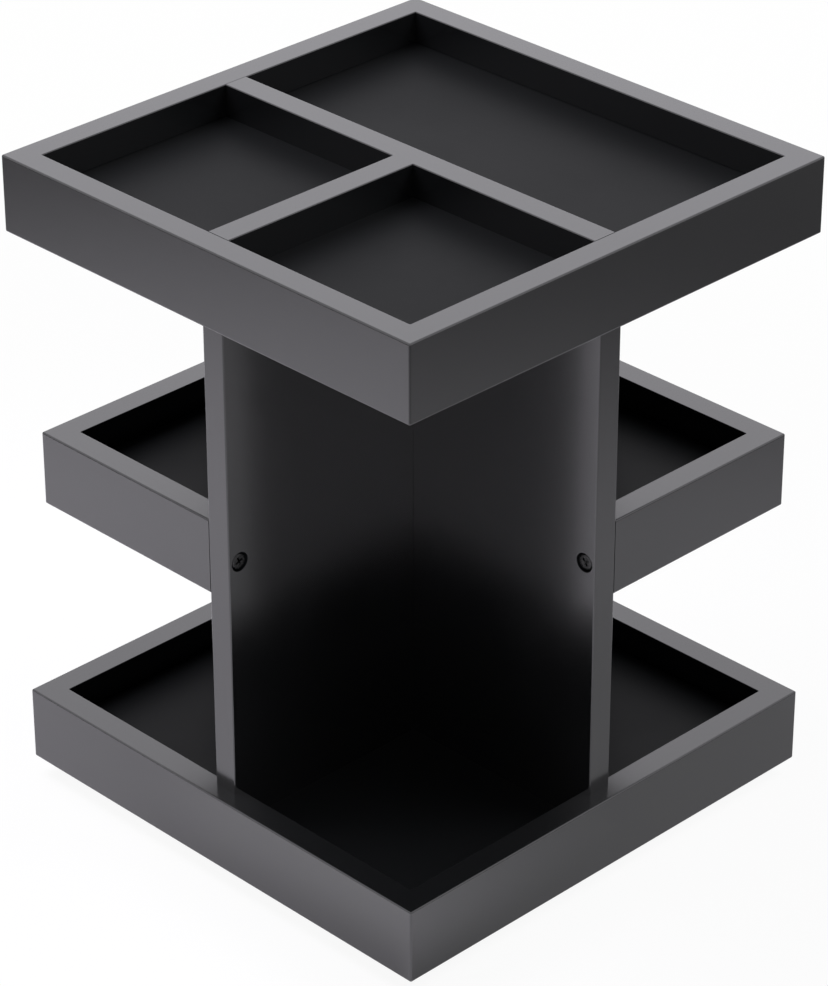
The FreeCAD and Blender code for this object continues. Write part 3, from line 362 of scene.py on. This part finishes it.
def ballSteel(look):
    finish = newMaterial("ballSteel")
    smear = finish.noise(finish.place(), *look["smearNoise"])
    return finish.surface({
        "Base Color": finish.blend(smear, look["dark"], look["light"]), "Metallic": 1.0,
        "Roughness": look["roughness"] + smear * look["smearRough"],
        "Normal": finish.bump(smear, look["relief"])})


nylonLook = {
    "cloudNoise": (90.0, 3.0, 0.5),
    "sparkNoise": (2600.0, 2.0, 0.5),
    "dark": (0.72, 0.71, 0.66, 1),
    "light": (0.79, 0.78, 0.74, 1),
    "roughness": 0.46,
    "sparkRough": 0.14,
    "index": 1.53,
    "relief": 0.00003,
}


def cageNylon(look):
    finish = newMaterial("cageNylon")
    plain = finish.place()
    cloud = finish.noise(plain, *look["cloudNoise"])
    spark = finish.noise(plain, *look["sparkNoise"])
    return finish.surface({
        "Base Color": finish.blend(cloud, look["dark"], look["light"]), "IOR": look["index"],
        "Roughness": look["roughness"] + spark * look["sparkRough"],
        "Normal": finish.bump(spark, look["relief"])})


rubberLook = {
    "gritNoise": (1600.0, 3.0, 0.6),
    "dustNoise": (210.0, 4.0, 0.6),
    "dustRange": (0.50, 0.80),
    "dark": grey(0.020),
    "light": grey(0.034),
    "dust": grey(0.10, 0.05),
    "dustShare": 0.35,
    "roughness": 0.66,
    "gritRough": 0.14,
    "dustRough": 0.06,
    "index": 1.52,
    "relief": 0.00006,
}


def footRubber(look):
    finish = newMaterial("footRubber")
    plain = finish.place()
    grit = finish.noise(plain, *look["gritNoise"])
    dust = finish.noise(plain, *look["dustNoise"]).rising(*look["dustRange"])
    colour = finish.blend(grit, look["dark"], look["light"])
    colour = finish.blend(dust * look["dustShare"], colour, look["dust"])
    return finish.surface({
        "Base Color": colour, "IOR": look["index"],
        "Roughness": look["roughness"] + grit * look["gritRough"] + dust * look["dustRough"],
        "Normal": finish.bump(grit, look["relief"])})


beechLook = {
    "stretch": 0.06,
    "ringNoise": (260.0, 3.0, 0.55, 0.6),  # the last number is its distortion
    "fleckNoise": (1900.0, 2.0, 0.5),
    "fleckRange": (0.60, 0.72),
    "light": (0.58, 0.41, 0.25, 1),
    "dark": (0.42, 0.26, 0.13, 1),
    "fleck": (0.20, 0.10, 0.045, 1),
    "fleckShare": 0.8,
    "roughness": 0.62,
    "ringRough": 0.12,
    "ringHeight": 0.5,
    "fleckDepth": 0.5,
    "relief": 0.00005,
}


def beech(grain, look):
    finish = newMaterial("beech." + grain)
    fibres = finish.along(grain, look["stretch"])
    rings = finish.noise(fibres, *look["ringNoise"])
    flecks = finish.noise(fibres, *look["fleckNoise"]).rising(*look["fleckRange"])
    colour = finish.blend(rings, look["light"], look["dark"])
    colour = finish.blend(flecks * look["fleckShare"], colour, look["fleck"])
    height = rings * look["ringHeight"] - flecks * look["fleckDepth"]
    return finish.surface({
        "Base Color": colour, "Roughness": look["roughness"] + rings * look["ringRough"],
        "Normal": finish.bump(height, look["relief"])})


oxide, zinc = blackOxide(oxideLook), zincSteel(zincLook)
coatNode("bearing_upper_plate", zinc)
coatNode("bearing_lower_plate", zinc)
coatNode("bearing_balls", ballSteel(ballLook))
coatNode("ball_cage", cageNylon(nylonLook))
print("bearing finished")

mm = 0.001  # lengths below are in millimetres


def deselect():
    if bpy.context.object and bpy.context.object.mode != "OBJECT":
        bpy.ops.object.mode_set(mode="OBJECT")
    bpy.ops.object.select_all(action="DESELECT")


def only(piece):
    deselect()
    piece.select_set(True)
    bpy.context.view_layer.objects.active = piece


def pick(kind, test):
    # in edit mode: selects what passes the test, by its middle
    bpy.ops.mesh.select_mode(type=kind)
    bpy.ops.mesh.select_all(action="DESELECT")
    shape = bmesh.from_edit_mesh(bpy.context.object.data)
    for part in {"VERT": shape.verts, "EDGE": shape.edges, "FACE": shape.faces}[kind]:
        corners = [part] if kind == "VERT" else part.verts
        middle = sum((corner.co for corner in corners), Vector()) / len(corners)
        if test(middle):
            part.select_set(True)
    bmesh.update_edit_mesh(bpy.context.object.data)


def closeShape():
    # in edit mode: turns all faces outwards and leaves edit mode
    bpy.ops.mesh.select_all(action="SELECT")
    bpy.ops.mesh.normals_make_consistent(inside=False)
    bpy.ops.object.mode_set(mode="OBJECT")


def disc(name, radius, height, sides):
    # a round face at its height, in edit mode and selected
    deselect()
    bpy.ops.mesh.primitive_circle_add(vertices=sides, radius=radius * mm, fill_type="NGON",
                                      location=(0, 0, height * mm))
    piece = bpy.context.object
    piece.name = name
    bpy.ops.object.transform_apply(location=True, rotation=True, scale=True)
    bpy.ops.object.mode_set(mode="EDIT")
    bpy.ops.mesh.select_all(action="SELECT")
    return piece


def ring(rise, share, height=0.0):
    # in edit mode: the selected face drawn up to a new ring and scaled there
    bpy.ops.mesh.extrude_region_move(TRANSFORM_OT_translate={"value": (0, 0, rise * mm)})
    bpy.ops.transform.resize(value=(share, share, 1), center_override=(0, 0, height * mm))


def turnedShape(name, profile, sides=48):
    # from ring to ring of (radius, height)
    radius, height = profile[0]
    piece = disc(name, radius, height, sides)
    for nextRadius, nextHeight in profile[1:]:
        ring(nextHeight - height, nextRadius / radius, nextHeight)
        radius, height = nextRadius, nextHeight
    closeShape()
    return piece


def applyModifier(piece, kind, **settings):
    only(piece)
    modifier = piece.modifiers.new(kind.lower(), kind)
    for word, value in settings.items():
        setattr(modifier, word, value)
    bpy.ops.object.modifier_apply(modifier=modifier.name)


# how a thread is wound and joined to its head; the last four are in metres
winding = {
    "crestFlat": 0.18,  # the crest's width as a share of the pitch
    "steps": 20,
    "bands": 12,  # rings that the point is drawn in by
    "narrowing": 0.94,
    "merge": 0.00001,
    "weld": 0.00002,
    "cutMerge": 0.0000002,
    "skinWeld": 0.000006,
}


def fused(piece, other):
    # one closed skin out of two that overlap, without its tiniest edges
    applyModifier(piece, "BOOLEAN", operation="UNION", solver="EXACT", object=other)
    bpy.data.objects.remove(other)
    bpy.ops.object.mode_set(mode="EDIT")
    bpy.ops.mesh.select_all(action="SELECT")
    bpy.ops.mesh.remove_doubles(threshold=winding["skinWeld"])
    bpy.ops.object.mode_set(mode="OBJECT")


def cutCross(piece, top, cross):
    # two tapered wings sunk into the head, as the driver's tip leaves them
    thin, short = cross["taper"]
    for turn in (0, 90):
        deselect()
        bpy.ops.mesh.primitive_cube_add(size=1, location=(0, 0, top * mm),
                                        rotation=(0, 0, math.radians(turn)))
        wing = bpy.context.object
        wing.scale = (cross["width"] * mm, cross["length"] * mm, 2 * cross["depth"] * mm)
        bpy.ops.object.transform_apply(location=True, rotation=True, scale=True)
        bpy.ops.object.mode_set(mode="EDIT")
        pick("FACE", lambda middle: middle.z < (top - cross["depth"] / 2) * mm)
        size = (thin, short, 1) if turn == 0 else (short, thin, 1)
        bpy.ops.transform.resize(value=size, center_override=(0, 0, (top - cross["depth"]) * mm))
        bpy.ops.object.mode_set(mode="OBJECT")
        applyModifier(piece, "BOOLEAN", operation="DIFFERENCE", solver="EXACT", object=wing)
        bpy.data.objects.remove(wing)


def toothLine(name, thread):
    # one tooth of the thread in section, open towards the axis
    root, crest, pitch = thread["root"], thread["crest"], thread["pitch"]
    middleX, middleZ = (root + crest) / 2 * mm, (thread["top"] + pitch / 2) * mm
    deselect()
    bpy.ops.mesh.primitive_plane_add(size=1, rotation=(math.radians(90), 0, 0),
                                     location=(middleX, 0, middleZ))
    piece = bpy.context.object
    piece.name = name
    piece.scale = ((crest - root) * mm, pitch * mm, 1)
    bpy.ops.object.transform_apply(location=True, rotation=True, scale=True)
    bpy.ops.object.mode_set(mode="EDIT")
    bpy.ops.mesh.delete(type="ONLY_FACE")
    pick("VERT", lambda middle: middle.x > middleX)
    bpy.ops.transform.resize(value=(1, 1, winding["crestFlat"]), center_override=(crest * mm, 0, middleZ))
    pick("EDGE", lambda middle: middle.x < (3 * root + crest) / 4 * mm)
    bpy.ops.mesh.delete(type="EDGE")
    bpy.ops.object.mode_set(mode="OBJECT")
    return piece


def drawPoint(bottom, length):
    # in edit mode: band after band drawn in towards the axis, and then all that is below the point
    bands = winding["bands"]
    for band in range(bands + 1):
        low = bottom + length * (1 - (band + 1) / bands) if band < bands else -math.inf
        high = bottom + length * (1 - band / bands)
        share = 1 - min(1, (band + 0.5) / bands) * winding["narrowing"]
        pick("VERT", lambda middle: low * mm < middle.z <= high * mm)
        bpy.ops.transform.resize(value=(share, share, 1), center_override=(0, 0, 0))


def threadedShank(name, thread):
    # the tooth wound down the axis, drawn to a point and cut off at both ends
    top, bottom, pitch = thread["top"], thread["bottom"], thread["pitch"]
    piece = toothLine(name, thread)
    applyModifier(piece, "SCREW", axis="Z", angle=math.radians(360), screw_offset=-pitch * mm,
                  steps=winding["steps"], render_steps=winding["steps"],
                  iterations=math.ceil((top - bottom) / pitch) + 2,
                  use_merge_vertices=True, merge_threshold=winding["merge"])
    bpy.ops.object.mode_set(mode="EDIT")
    bpy.ops.mesh.select_all(action="SELECT")
    bpy.ops.mesh.remove_doubles(threshold=winding["weld"])
    drawPoint(bottom, thread["point"])
    for level, side in ((top, 1), (bottom, -1)):
        bpy.ops.mesh.select_mode(type="VERT")
        bpy.ops.mesh.select_all(action="SELECT")
        bpy.ops.mesh.bisect(plane_co=(0, 0, level * mm), plane_no=(0, 0, side), use_fill=True,
                            clear_outer=True, threshold=winding["cutMerge"])
    closeShape()
    return piece


def smoothed(piece, degrees=32):
    only(piece)
    bpy.ops.object.shade_smooth_by_angle(angle=math.radians(degrees))


def placed(model, name, place, turn=(0, 0, 0), twist=0.0):
    # a copy of the model with its own mesh, twisted about its own axis, turned and moved into place
    only(model)
    bpy.ops.object.duplicate()
    piece = bpy.context.object
    piece.name = name
    way = Matrix.Identity(4)
    for degrees, axis in ((turn[2], "Z"), (turn[1], "Y"), (turn[0], "X"), (twist, "Z")):
        way = way @ Matrix.Rotation(math.radians(degrees), 4, axis)
    piece.rotation_euler = way.to_euler()
    piece.location = Vector(place) * mm
    bpy.ops.object.transform_apply(location=True, rotation=True, scale=True)
    return piece


def putDown(pieces, material, body, node):
    # the copies together stand for the node
    for piece in pieces:
        piece.data.materials.clear()
        piece.data.materials.append(material)
        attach(piece, body)
        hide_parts(node)


longScrew = {
    "profile": [(2.9, 0), (3.15, -0.04), (3.34, -0.14), (3.46, -0.28), (3.5, -0.46), (3.46, -0.62),
                (2.1, -2.0), (1.95, -2.3), (1.95, -13.2)],
    "cross": {"width": 1.25, "length": 6.2, "depth": 1.7, "taper": (0.55, 0.35)},
    "thread": {"root": 1.32, "crest": 1.98, "pitch": 1.8, "top": -12.9, "bottom": -34.4, "point": 4.0},
    # name, place of the head's top, turn that brings +Z out of the board, twist of the cross
    "wall": [
        ("trayWallScrew.frontLeft", (5.55, -106.5, 156.5), (0, 90, 0), 20),
        ("trayWallScrew.backRight", (-5.55, 106.5, 156.5), (0, -90, 0), 52),
        ("trayWallScrew.rightFront", (106.5, -5.55, 156.5), (90, 0, 0), 38),
        ("trayWallScrew.leftBack", (-106.5, 5.55, 156.5), (-90, 0, 0), 7),
    ],
    "foot": [
        ("panelFootScrew.right", (92, 0, 20.3), (180, 0, 0), 11),
        ("panelFootScrew.back", (0, 92, 20.3), (180, 0, 0), 64),
        ("panelFootScrew.left", (-92, 0, 20.3), (180, 0, 0), 33),
        ("panelFootScrew.front", (0, -92, 20.3), (180, 0, 0), 80),
    ],
}


def makeLongScrews():
    model = turnedShape("longScrewModel", longScrew["profile"])
    cutCross(model, 0, longScrew["cross"])
    fused(model, threadedShank("longThread", longScrew["thread"]))
    smoothed(model)
    putDown([placed(model, *row) for row in longScrew["wall"]], oxide, "carousel", "tray_wall_screws")
    putDown([placed(model, *row) for row in longScrew["foot"]], oxide, "carousel", "panel_foot_screws")
    bpy.data.objects.remove(model)


makeLongScrews()
print("long screws made")

# the pan head screws of the bearing plates
shortScrew = {
    "profile": [(1.5, 1.88), (2.3, 1.78), (2.9, 1.5), (3.2, 1.1), (3.28, 0.7), (3.28, 0.06), (3.2, 0),
                (1.72, 0), (1.72, -1.2)],
    "sides": 36,
    "cross": {"width": 1.1, "length": 5.4, "depth": 1.25, "taper": (0.6, 0.4)},
    "thread": {"root": 1.15, "crest": 1.74, "pitch": 1.3, "top": -1.0, "bottom": -7.9, "point": 2.2},
    "corners": [(43, 43), (43, -43), (-43, 43), (-43, -43)],
    "twists": (12, 71, 40, 88),
    # body, height of the seat, turn
    "lowerPlate": ("base", 13.0, (0, 0, 0)),
    "upperPlate": ("carousel", 19.0, (180, 0, 0)),
}


def makeShortScrews():
    profile = shortScrew["profile"]
    model = turnedShape("shortScrewModel", profile, shortScrew["sides"])
    cutCross(model, profile[0][1], shortScrew["cross"])
    fused(model, threadedShank("shortThread", shortScrew["thread"]))
    smoothed(model)
    for plate, node in (("lowerPlate", "lower_plate_screws"), ("upperPlate", "upper_plate_screws")):
        body, seat, turn = shortScrew[plate]
        screws = []
        for number, ((x, y), twist) in enumerate(zip(shortScrew["corners"], shortScrew["twists"]), 1):
            screws.append(placed(model, "%sScrew.%d" % (plate, number), (x, y, seat), turn, twist))
        putDown(screws, zinc, body, node)
    bpy.data.objects.remove(model)


makeShortScrews()
print("plate screws made")

foot = {
    "profile": [(1.7, 1.1), (2.1, 0.35), (2.5, 0.08), (2.9, 0), (4.3, 0), (4.45, 0.16), (4.8, 0.16),
                (4.95, 0), (6.9, 0), (7.45, 0.1), (7.82, 0.38), (7.98, 0.8), (7.98, 2.05), (7.78, 2.2),
                (7.78, 2.5), (7.98, 2.65), (7.98, 3.0)],
    "sides": 64,
    "smooth": 28,
    "place": 62.225,
    # node, piece, side, front or back
    "corners": [
        ("foot_front_right", "rubberFoot.FrontRight", 1, -1),
        ("foot_front_left", "rubberFoot.FrontLeft", -1, -1),
        ("foot_back_left", "rubberFoot.BackLeft", -1, 1),
        ("foot_back_right", "rubberFoot.BackRight", 1, 1),
    ],
}


def makeFeet():
    rubber = footRubber(rubberLook)
    model = turnedShape("footModel", foot["profile"], foot["sides"])
    smoothed(model, foot["smooth"])
    for node, name, side, back in foot["corners"]:
        piece = placed(model, name, (side * foot["place"], back * foot["place"], 0))
        putDown([piece], rubber, "base", node)
    bpy.data.objects.remove(model)


makeFeet()
print("feet made")

# fluted dowels
dowel = {
    "radius": 3.0,
    "flute": 0.90,  # radius at the bottom of a flute, as a share
    "sides": 48,
    "fluteEvery": 3,  # sides
    "chamfer": 0.8,
    "length": 30,
    "smooth": 25,
    # node, pieces' name, grain, turn, twist from one to the next, places of the middles
    "sets": [
        ("bottom_corner_dowels", "bottomCornerDowel", "x", (0, 90, 0), 9,
         [(x, y, level) for level in (14.5, 36.5) for x in (101, -101) for y in (114, -114)]),
        ("top_corner_dowels", "topCornerDowel", "x", (0, 90, 0), 9,
         [(x, y, level) for level in (276.0, 296.5) for x in (101, -101) for y in (114, -114)]),
        ("front_left_tray_dowels", "frontLeftDowel", "x", (0, 90, 0), 15,
         [(-93.5, -106.5, 146.0), (-93.5, -106.5, 166.5)]),
        ("back_right_tray_dowels", "backRightDowel", "x", (0, 90, 0), 15,
         [(93.5, 106.5, 146.0), (93.5, 106.5, 166.5)]),
        ("top_tray_dowels", "topTrayDowel", "z", (0, 0, 0), 25,
         [(75, 0, 283), (-75, 0, 283), (0, -75, 283)]),
    ],
}


def dowelModel():
    radius, length, chamfer = dowel["radius"], dowel["length"], dowel["chamfer"]
    piece = disc("dowelModel", radius, -length / 2, dowel["sides"])
    step = math.tau / dowel["sides"]
    pick("VERT", lambda middle: round(math.atan2(middle.y, middle.x) / step) % dowel["fluteEvery"] == 0)
    bpy.ops.transform.resize(value=(dowel["flute"], dowel["flute"], 1), center_override=(0, 0, 0))
    bpy.ops.mesh.select_all(action="SELECT")
    slope = 1 - chamfer / radius
    bpy.ops.transform.resize(value=(slope, slope, 1), center_override=(0, 0, 0))
    for rise, share in ((chamfer, 1 / slope), (length - 2 * chamfer, 1), (chamfer, slope)):
        ring(rise, share)
    closeShape()
    return piece


def makeDowels():
    wood = {grain: beech(grain, beechLook) for grain in "xz"}
    model = dowelModel()
    smoothed(model, dowel["smooth"])
    for node, name, grain, turn, twist, places in dowel["sets"]:
        pins = [placed(model, "%s.%d" % (name, number + 1), place, turn, twist * number)
                for number, place in enumerate(places)]
        putDown(pins, wood[grain], "carousel", node)
    bpy.data.objects.remove(model)


makeDowels()
print("dowels made")

# floor, room and lamps, in metres
studio = {
    "floorSize": 14.0,
    "floorLevel": -0.0001,
    "floorColour": (0.80, 0.79, 0.83, 1),
    "floorFlecks": (0.83, 0.83, 0.83, 1),
    "fleckNoise": (60.0, 3.0, 0.5),
    "floorRoughness": 0.6,
    # painted shade: the floor's colour goes dark away from its middle, standing in for the lamps' light
    # falling off
    "floorPaintedShade": (0.08, 0.079, 0.083, 1),  # beyond the lamps' reach
    "floorMiddle": (0.0, -0.20),
    "paintedShadeRange": (0.25, 0.88),  # from that middle
    "floorSeen": (0.93, 0.995),  # how far the camera takes the floor as plain white, near and far
    "floorMirrored": (0.10, 0.30),  # the same for reflections
    "floorGlow": (0.90, 1.30),  # where the second of those takes over
    "room": (0.89, 0.88, 0.90, 1),
    "roomStrength": 0.12,
    "roomMirrored": (0.965, 0.950, 1.0, 1),
    "lamps": [
        {"name": "keySoftbox", "place": (-0.46, -0.26, 0.95), "aim": (-0.05, -0.05, 0.10),
         "size": (0.6, 0.6), "watts": 15.7, "colour": (0.962, 0.935, 1.0), "mirrored": False},
        {"name": "backSoftbox", "place": (-1.25, 1.22, 1.25), "aim": (0, 0, 0.30),
         "size": (1.6, 1.0), "watts": 0.93, "colour": (0.965, 0.95, 1.0), "mirrored": True},
        {"name": "sideSoftbox", "place": (0.55, 0.40, 0.85), "aim": (0.15, 0.0, 0.0),
         "size": (0.5, 0.5), "watts": 7.6, "colour": (0.98, 0.98, 1.0), "mirrored": False},
    ],
}


def aimed(place, aim, roll=0.0):
    look = (Vector(aim) - Vector(place)).to_track_quat("-Z", "Y")
    return (look.to_matrix().to_4x4() @ Matrix.Rotation(roll, 4, "Z")).to_euler()


def addFloor():
    deselect()
    bpy.ops.mesh.primitive_plane_add(size=studio["floorSize"], location=(0, 0, studio["floorLevel"]))
    floor = bpy.context.object
    floor.name = "paleFloor"
    finish = newMaterial("paleFloor")
    where = finish.place()
    flecks = finish.noise(where, *studio["fleckNoise"])
    point, middle = finish.axes(where), studio["floorMiddle"]
    out = ((point[0] - middle[0]) ** 2 + (point[1] - middle[1]) ** 2) ** 0.5
    # painted shade: the floor darkens away from its middle, where less lamp light would fall
    paintedShadeMask = out.rising(*studio["paintedShadeRange"])
    tone = finish.blend(flecks, studio["floorColour"], studio["floorFlecks"])
    tone = finish.blend(paintedShadeMask, tone, studio["floorPaintedShade"])
    matt = finish.node("ShaderNodeBsdfDiffuse", {}, {"Color": tone, "Roughness": studio["floorRoughness"]})
    glowing = finish.node("ShaderNodeEmission", {}, {"Color": white, "Strength": 1.0})
    camera, glossy, through = finish.rays()
    seenNear, seenFar = studio["floorSeen"]
    dull, bright = studio["floorMirrored"]
    seen = seenNear + (seenFar - seenNear) * paintedShadeMask
    mirrored = dull + (bright - dull) * out.rising(*studio["floorGlow"])
    share = (camera.higher(through) * seen).higher(glossy * mirrored)
    mixed = finish.node("ShaderNodeMixShader", {}, {0: share, 1: matt, 2: glowing})
    finish.node("ShaderNodeOutputMaterial", {}, {"Surface": mixed})
    floor.data.materials.append(finish.owner)


def addRoom():
    world = bpy.data.worlds.new("paleRoom")
    bpy.context.scene.world = world
    finish = Finish(world)
    dim, mirrored, seen = (
        finish.node("ShaderNodeBackground", {}, {"Color": colour, "Strength": strength})
        for colour, strength in ((studio["room"], studio["roomStrength"]), (studio["roomMirrored"], 1.0),
                                 (white, 1.0)))
    camera, glossy, through = finish.rays()
    mixed = finish.node("ShaderNodeMixShader", {}, {0: glossy.higher(through), 1: dim, 2: mirrored})
    mixed = finish.node("ShaderNodeMixShader", {}, {0: camera, 1: mixed, 2: seen})
    finish.node("ShaderNodeOutputWorld", {}, {"Surface": mixed})


def addLamps():
    for lamp in studio["lamps"]:
        bpy.ops.object.light_add(type="AREA", location=lamp["place"],
                                 rotation=aimed(lamp["place"], lamp["aim"]))
        made = bpy.context.object
        made.name = lamp["name"]
        made.data.shape = "RECTANGLE"
        made.data.size, made.data.size_y = lamp["size"]
        made.data.energy = lamp["watts"]
        made.data.color = lamp["colour"]
        made.visible_camera = False
        made.visible_glossy = lamp["mirrored"]


cameraView = {
    "place": (1.06704, -1.05079, 0.98995),
    "azimuth": 45.43,  # degrees, from looking along +Y
    "elevation": 29.45,
    "roll": -0.075,
    "lens": 145.607,  # millimetres
    "sensor": 36.0,  # millimetres along the picture's height
}


def addCamera():
    turn, tilt = math.radians(cameraView["azimuth"]), math.radians(cameraView["elevation"])
    look = Vector((-math.sin(turn) * math.cos(tilt), math.cos(turn) * math.cos(tilt), -math.sin(tilt)))
    place = Vector(cameraView["place"])
    bpy.ops.object.camera_add(location=place,
                              rotation=aimed(place, place + look, math.radians(cameraView["roll"])))
    camera = bpy.context.object
    camera.name = "photoCamera"
    camera.data.lens = cameraView["lens"]
    camera.data.sensor_width = cameraView["sensor"]
    bpy.context.scene.camera = camera


addFloor()
addRoom()
addLamps()
addCamera()
bpy.context.scene.view_settings.view_transform = "Standard"
print("studio set")
